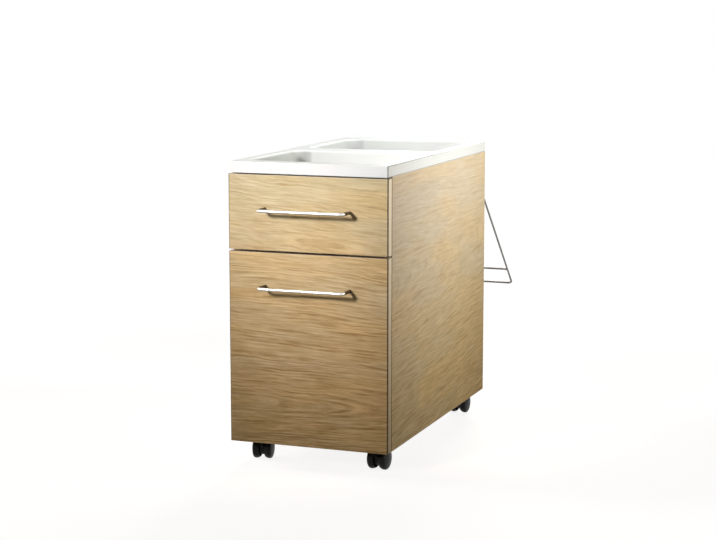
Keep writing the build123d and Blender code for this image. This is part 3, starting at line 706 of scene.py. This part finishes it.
def buildBallTree():
    inputs = {"Int": ("Count",), "Float": ("Pitch", "Radius")}
    tree, given, results = startShapes("ballRows", inputs)
    line = addNode(tree, "GeometryNodeMeshLine", {
        "Count": given["Count"], "Offset": threeOf(tree, 0.0, given["Pitch"], 0.0)}).outputs[0]
    ball = smoothBall(tree, "GeometryNodeMeshUVSphere", {**ballShape, "Radius": given["Radius"]})
    places = setOut(tree, given["Geometry"], line)
    return endShapes(tree, given, results, setOut(tree, places, ball))


# Ball cages: two thin rails along Y with a bridge between each pair of balls, in shares of width and pitch
cageShape = {"railWidth": 0.2, "railsAside": (-0.4, 0.4), "bridge": 0.5}


def buildCageTree():
    inputs = {"Int": ("Count",), "Float": ("Pitch", "Width", "Thickness")}
    tree, given, results = startShapes("ballCages", inputs)
    pitch, width, thickness = given["Pitch"], given["Width"], given["Thickness"]
    reach = productOf(tree, given["Count"], pitch)
    middle = productOf(tree, mathOf(tree, "SUBTRACT", reach, pitch), 0.5)
    railSize = threeOf(tree, productOf(tree, width, cageShape["railWidth"]), reach, thickness)
    rail = addNode(tree, "GeometryNodeMeshCube", {"Size": railSize}).outputs[0]
    shapes = []
    for way in cageShape["railsAside"]:
        aside = threeOf(tree, productOf(tree, width, way), middle, 0.0)
        shapes.append(movedBy(tree, rail, aside))
    bridgeSize = threeOf(tree, width, productOf(tree, pitch, cageShape["bridge"]), thickness)
    bridge = addNode(tree, "GeometryNodeMeshCube", {"Size": bridgeSize}).outputs[0]
    line = addNode(tree, "GeometryNodeMeshLine", {
        "Count": given["Count"], "Offset": threeOf(tree, 0.0, pitch, 0.0),
        "Start Location": threeOf(tree, 0.0, productOf(tree, pitch, -0.5), 0.0)}).outputs[0]
    shapes.append(setOut(tree, line, bridge))
    return endShapes(tree, given, results, setOut(tree, given["Geometry"], joined(tree, shapes)))


# Flat rubber domes
domeShape = {"Segments": 28, "Rings": 14, "Radius": 1.0}


def buildDomeTree():
    tree, given, results = startShapes("softDomes", {"Float": ("Radius", "Height"), "Vector": ("Turn",)})
    scale = threeOf(tree, given["Radius"], given["Radius"], given["Height"])
    ball = smoothBall(tree, "GeometryNodeMeshUVSphere", domeShape)
    dome = movedBy(tree, ball, (0.0, 0.0, 0.0), scale=scale)
    return endShapes(tree, given, results, setOut(tree, given["Geometry"], dome, given["Turn"]))


# Weld beads: small lumps, uneven by noise
beadShape = {"subdivisions": 4, "noise": {"Scale": 420.0, "Detail": 2.0}}


def buildBeadTree():
    tree, given, results = startShapes("weldBeads", {"Float": ("Radius", "Unevenness", "Seed")})
    sizes = {"Subdivisions": beadShape["subdivisions"], "Radius": given["Radius"]}
    beads = setOut(tree, given["Geometry"], smoothBall(tree, "GeometryNodeMeshIcoSphere", sizes))
    place = tree.nodes.new("GeometryNodeInputPosition").outputs[0]
    lumps = addNode(tree, "ShaderNodeTexNoise", {"Vector": place, "W": given["Seed"], **beadShape["noise"]},
                    noise_dimensions="4D").outputs[0]
    push = productOf(tree, mathOf(tree, "SUBTRACT", lumps, noiseMiddle), given["Unevenness"])
    normal = tree.nodes.new("GeometryNodeInputNormal").outputs[0]
    offset = addNode(tree, "ShaderNodeVectorMath", {0: normal, "Scale": push}, operation="SCALE").outputs[0]
    uneven = addNode(tree, "GeometryNodeSetPosition", {"Geometry": beads, "Offset": offset}).outputs[0]
    return endShapes(tree, given, results, uneven)


# A node tree's shape on these points, as a plain mesh that rides on a body
def growPiece(name, tree, points, settings, material, body, replaced=()):
    holder = putInScene(bpy.data.objects.new(name, bpy.data.meshes.new(f"{name}_points")))
    holder.data.from_pydata([tuple(point) for point in points], [], [])
    shape = holder.modifiers.new("shape", "NODES")
    shape.node_group = tree
    sockets = {item.name: item.identifier for item in tree.interface.items_tree if item.in_out == "INPUT"}
    for label, value in {**settings, "Material": material}.items():
        shape[sockets[label]] = value
    seen = holder.evaluated_get(bpy.context.evaluated_depsgraph_get())
    grown = bpy.data.meshes.new_from_object(seen)
    holder.modifiers.clear()
    holder.data = grown
    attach(holder, body)
    if replaced:
        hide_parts(*replaced)
    return holder


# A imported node's loose triangles, merged for work
def openMesh(node):
    work = bmesh.new()
    work.from_mesh(nodes[node].data)
    bmesh.ops.transform(work, matrix=nodes[node].matrix_world, verts=work.verts)
    bmesh.ops.remove_doubles(work, verts=work.verts, dist=mergeReach)
    return work


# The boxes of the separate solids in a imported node, in the order of their rounded corners
sortDigits = 4


def solidBoxes(node):
    work = openMesh(node)
    left = set(work.verts)
    boxes = []
    while left:
        front = [left.pop()]
        corners = []
        while front:
            vert = front.pop()
            corners.append(vert.co.copy())
            for edge in vert.link_edges:
                other = edge.other_vert(vert)
                if other in left:
                    left.remove(other)
                    front.append(other)
        boxes.append((Vector(map(min, zip(*corners))), Vector(map(max, zip(*corners)))))
    work.free()
    return sorted(boxes, key=lambda pair: tuple(round(value, sortDigits) for value in pair[0]))


fastenerLook = {
    "handle": {"Head Radius": 0.004, "Head Height": 0.0024, "Taper": 0.78, "Shank Radius": 0.002},
    "channel": {"Head Radius": 0.0034, "Head Height": 0.0006, "Taper": 0.82, "Shank Radius": 0.0016,
                "Shank Length": 0.010},
    "inner": {"Head Radius": 0.0034, "Head Height": 0.0018, "Taper": 0.80, "Shank Radius": 0.0016,
              "Shank Length": 0.008},
    "places": (0.07, 0.36, 0.66, 0.93),
    "sheet": 0.0012,
}
ballLook = {
    "wide": {"radius": 0.00135, "height": 0.0202, "aside": 0.0064, "start": 0.53},
    "narrow": {"radius": 0.00120, "height": 0.01625, "aside": 0.0079, "start": 0.03},
    "rows": {"Count": 12, "Pitch": 0.019},
    "cage": {"Width": 0.0052, "Thickness": 0.0004},
}
screwTree = buildScrewTree()
ballTree = buildBallTree()
cageTree = buildCageTree()
domeTree = buildDomeTree()
beadTree = buildBeadTree()


# Screws that hold a channel: heads on its web, four along its length
def addChannelScrews(name, drawer, side, channel, body):
    low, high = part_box(f"{drawer}_slide_{channel}_{side}")
    away = 1.0 if side == "right" else -1.0
    web = fastenerLook["sheet"]
    if channel == "outer":
        look, x, turn = fastenerLook["channel"], max(abs(low.x), abs(high.x)) - web, -quarter * away
    else:
        look, x, turn = fastenerLook["inner"], min(abs(low.x), abs(high.x)) + web, quarter * away
    points = [(x * away, low.y + (high.y - low.y) * share, (low.z + high.z) / 2)
              for share in fastenerLook["places"]]
    growPiece(name, screwTree, points, {**look, "Turn": (0.0, turn, 0.0)},
              finishMaterials["zinc_fasteners"], body)


# Balls and their cages, which the middle channel carries above and below its own centre line
def addBalls(drawer, side):
    body = f"{drawer}_slide_middle_{side}"
    outerLow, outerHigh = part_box(f"{drawer}_slide_outer_{side}")
    low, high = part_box(body)
    away = 1.0 if side == "right" else -1.0
    wall = max(abs(outerLow.x), abs(outerHigh.x))
    middle = (low.z + high.z) / 2
    for kind in ("wide", "narrow"):
        look = ballLook[kind]
        start = low.y + (high.y - low.y) * look["start"]
        points = [((wall - look["aside"]) * away, start, middle + look["height"] * way) for way in (1, -1)]
        growPiece(f"{body}_{kind}_balls", ballTree, points, {**ballLook["rows"], "Radius": look["radius"]},
                  finishMaterials["polished_balls"], body)
        growPiece(f"{body}_{kind}_cages", cageTree, points, {**ballLook["rows"], **ballLook["cage"]},
                  finishMaterials["zinc_slides"], body)


for drawer in ("upper", "lower"):
    for side in ("left", "right"):
        addChannelScrews(f"{drawer}_outer_screws_{side}", drawer, side, "outer", "cabinet")
        addChannelScrews(f"{drawer}_inner_screws_{side}", drawer, side, "inner", f"{drawer}_drawer")
        addBalls(drawer, side)
    look = fastenerLook["handle"]
    screws = solidBoxes(f"{drawer}_handle_screws")
    headBase = [((low.x + high.x) / 2, high.y - look["Head Height"], (low.z + high.z) / 2)
                for low, high in screws]
    shankLength = screws[0][1].y - screws[0][0].y - look["Head Height"]
    growPiece(f"{drawer}_handle_screws_recessed", screwTree, headBase,
              {**look, "Shank Length": shankLength, "Turn": (-quarter, 0.0, 0.0)},
              finishMaterials["zinc_fasteners"], f"{drawer}_drawer",
              (f"{drawer}_handle_screws",))

bumpers = solidBoxes("front_bumpers")
bumperHalf = (bumpers[0][1] - bumpers[0][0]) / 2
growPiece("front_bumper_domes", domeTree,
          [((low.x + high.x) / 2, high.y, (low.z + high.z) / 2) for low, high in bumpers],
          {"Radius": bumperHalf.x, "Height": 2 * bumperHalf.y, "Turn": (quarter, 0.0, 0.0)},
          finishMaterials["clear_rubber"], "cabinet", ("front_bumpers",))

beadLook = {"Radius": 0.0027, "Unevenness": 0.0011, "Seed": 3.0}
beadInset = 0.0009
railLow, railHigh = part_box("rack_cross_rail")
railMiddle = (railLow + railHigh) / 2
beadPoints = [(x, railMiddle.y, railMiddle.z) for x in (railLow.x + beadInset, railHigh.x - beadInset)]
growPiece("rack_weld_beads", beadTree, beadPoints, beadLook, finishMaterials["grey_wire"], "cabinet")
print("small parts made")


# A worked mesh as a piece of its own
def closeMesh(work, name, material):
    mesh = bpy.data.meshes.new(name)
    work.to_mesh(mesh)
    work.free()
    mesh.materials.append(material)
    return putInScene(bpy.data.objects.new(name, mesh))


# Box boards with their sharp edges eased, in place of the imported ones. Angles in radians.
boardEase = {"width": 0.0007, "flatAngle": 0.02, "sharpAngle": 1.0, "segments": 2, "profile": 0.5}


def easeEdges(node, body, material):
    work = openMesh(node)
    bmesh.ops.dissolve_limit(work, angle_limit=boardEase["flatAngle"], verts=work.verts, edges=work.edges)
    sharp = [edge for edge in work.edges
             if len(edge.link_faces) == 2 and edge.calc_face_angle() > boardEase["sharpAngle"]]
    bmesh.ops.bevel(work, geom=sharp, offset=boardEase["width"], segments=boardEase["segments"],
                    profile=boardEase["profile"], affect="EDGES", clamp_overlap=True)
    board = closeMesh(work, f"{node}_eased", material)
    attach(board, body)
    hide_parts(node)


for drawer in ("upper", "lower"):
    for board, kind in (("side_left", "side"), ("side_right", "side"), ("front", "front"), ("back", "front")):
        easeEdges(f"{drawer}_box_{board}", f"{drawer}_drawer", plyMaterials[kind])
print("box boards eased")

# Caster wheels with their treads drawn into a barrel. The lengths are measured along and out from the axle.
wheelLook = {
    "rings": (0.0065, 0.0080, 0.0095, 0.0110, 0.0125),
    "crest": 0.0120,
    "inner": 0.0047,
    "fall": 0.0027,
    "rimInside": 0.0172,
    "sharpAngle": 0.6,
}


def roundWheel(node, axle):
    ends = [vert.co for vert in nodes[axle].data.vertices]
    middle = sum(ends, Vector()) / len(ends)
    right = [end for end in ends if end.x > middle.x]
    left = [end for end in ends if end.x < middle.x]
    outward = (sum(right, Vector()) / len(right) - sum(left, Vector()) / len(left)).normalized()
    low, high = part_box(node)
    if outward.dot((low + high) / 2 - middle) < 0:
        outward.negate()
    work = openMesh(node)
    for ring in wheelLook["rings"]:
        shape = [*work.verts, *work.edges, *work.faces]
        bmesh.ops.bisect_plane(work, geom=shape, plane_co=middle + outward * ring, plane_no=outward,
                               dist=mergeReach)
    for vert in work.verts:
        along = outward.dot(vert.co - middle)
        spoke = vert.co - middle - outward * along
        short = max(wheelLook["crest"] - along, 0.0) / (wheelLook["crest"] - wheelLook["inner"])
        reach = (high.z - low.z) / 2 - wheelLook["fall"] * short ** 2
        if spoke.length > max(reach, wheelLook["rimInside"]):
            vert.co = middle + outward * along + spoke.normalized() * reach
    wheel = closeMesh(work, f"{node}_round", finishMaterials["black_wheel"])
    wheel.data.shade_smooth()
    wheel.data.set_sharp_from_angle(angle=wheelLook["sharpAngle"])
    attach(wheel, node)
    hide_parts(node)


for end in ("front", "rear"):
    for side in ("left", "right"):
        for wheel in ("left", "right"):
            roundWheel(f"caster_{end}_{side}_wheel_{wheel}", f"caster_{end}_{side}_axle")
print("wheels rounded")

# Camera, standing right of the front and a little above the top
cameraView = {"place": (1.1874, -3.2908, 0.8371), "yaw": 0.3601, "pitch": 0.1501, "lens": 91.0,
              "sensor": 36.0}
cameraData = bpy.data.cameras.new("camera")
cameraData.lens = cameraView["lens"]
cameraData.sensor_width = cameraView["sensor"]
camera = putInScene(bpy.data.objects.new("camera", cameraData))
camera.location = cameraView["place"]
camera.rotation_euler = (quarter - cameraView["pitch"], 0.0, cameraView["yaw"])
bpy.context.scene.camera = camera

# Floor and surroundings: white where they are seen, plain and soft where they light the object
studio = {
    "floorSize": 12.0,
    "floorShader": {"Roughness": 0.9, "Specular IOR Level": 0.1},
    "floorColour": colour(0.40, 0.39, 0.37),
    "floorSpeck": colour(0.5, 0.5, 0.5),
    "speckNoise": ((9.0, 9.0, 9.0), 3.0),
    "speckRange": (0.3, 0.7, 0.0, 0.03),
    "white": colour(1.0, 1.0, 1.0),
    "floorGlow": (0.86, 1.0),
    "glowReach": (0.5, 1.6),
    "skyShown": 1.0,
    "skyFill": 0.05,
    "fillColour": colour(1.0, 0.88, 0.70),
}


def seenShare(tree):
    path = addNode(tree, "ShaderNodeLightPath").outputs
    seen = mathOf(tree, "MAXIMUM", path["Is Camera Ray"], path["Is Glossy Ray"])
    return mathOf(tree, "MAXIMUM", seen, path["Is Transmission Ray"])


def makeFloor():
    reach = studio["floorSize"] / 2
    corners = [(-reach, -reach, 0), (reach, -reach, 0), (reach, reach, 0), (-reach, reach, 0)]
    mesh = bpy.data.meshes.new("studio_floor")
    mesh.from_pydata(corners, [], [(0, 1, 2, 3)])
    floor = putInScene(bpy.data.objects.new("studio_floor", mesh))
    material, tree, shader, place = startMaterial("pale_floor", studio["floorShader"])
    specks = rangeOf(tree, noiseOf(tree, place, *studio["speckNoise"]), *studio["speckRange"])
    base = blendOf(tree, specks, studio["floorColour"], studio["floorSpeck"])
    tree.links.new(base, shader.inputs["Base Color"])
    shader.inputs["Emission Color"].default_value = studio["white"]
    away = addNode(tree, "ShaderNodeVectorMath", {0: place}, operation="LENGTH").outputs["Value"]
    glow = rangeOf(tree, away, *studio["glowReach"], *studio["floorGlow"])
    tree.links.new(mathOf(tree, "MULTIPLY", seenShare(tree), glow), shader.inputs["Emission Strength"])
    mesh.materials.append(material)


def makeSky():
    world = bpy.data.worlds.new("studio_sky")
    world.use_nodes = True
    tree = world.node_tree
    fill = tree.nodes["Background"]
    fill.inputs["Color"].default_value = studio["fillColour"]
    fill.inputs["Strength"].default_value = studio["skyFill"]
    shown = addNode(tree, "ShaderNodeBackground", {"Color": studio["white"], "Strength": studio["skyShown"]})
    mix = addNode(tree, "ShaderNodeMixShader", {0: seenShare(tree), 1: fill.outputs[0], 2: shown.outputs[0]})
    tree.links.new(mix.outputs[0], tree.nodes["World Output"].inputs["Surface"])
    bpy.context.scene.world = world


makeFloor()
makeSky()

# Lamps: place, aim, power, cone in degrees, radius and tint
lamps = {
    "front_key": {"place": (-0.50, -1.95, 1.00), "aim": (-0.07, -0.39, 0.90), "power": 155.0, "cone": 46.0,
                  "radius": 0.15, "tint": (0.94, 0.98, 1.0)},
    "front_low": {"place": (-0.70, -2.30, 1.15), "aim": (-0.01, -0.39, 0.31), "power": 150.0, "cone": 17.0,
                  "radius": 0.19, "tint": (1.0, 0.80, 0.71)},
    "right_key": {"place": (1.75, 0.33, 1.30), "aim": (0.15, 0.03, 0.66), "power": 174.0, "cone": 34.5,
                  "radius": 0.30, "tint": (0.89, 1.0, 0.98)},
    "right_low": {"place": (2.10, -0.30, 0.75), "aim": (0.15, -0.13, 0.80), "power": 86.0, "cone": 50.0,
                  "radius": 0.40, "tint": (1.0, 0.83, 0.73)},
    "left_fill": {"place": (-1.9, -0.3, 0.9), "aim": (-0.15, -0.1, 0.55), "power": 105.0, "cone": 60.0,
                  "radius": 0.40, "tint": (1.0, 0.94, 0.88)},
    "back_fill": {"place": (-0.3, 2.1, 0.9), "aim": (0.0, 0.2, 0.5), "power": 110.0, "cone": 60.0,
                  "radius": 0.40, "tint": (1.0, 0.94, 0.88)},
}


def addLamp(name, look):
    data = bpy.data.lights.new(name, "SPOT")
    data.energy = look["power"]
    data.color = look["tint"]
    data.spot_size = math.radians(look["cone"])
    data.spot_blend = 1.0
    data.shadow_soft_size = look["radius"]
    lamp = putInScene(bpy.data.objects.new(name, data))
    lamp.location = look["place"]
    aim = Vector(look["aim"]) - Vector(look["place"])
    lamp.rotation_euler = aim.to_track_quat("-Z", "Y").to_euler()


for name, look in lamps.items():
    addLamp(name, look)
bpy.context.scene.view_settings.view_transform = "Standard"
print("studio made")
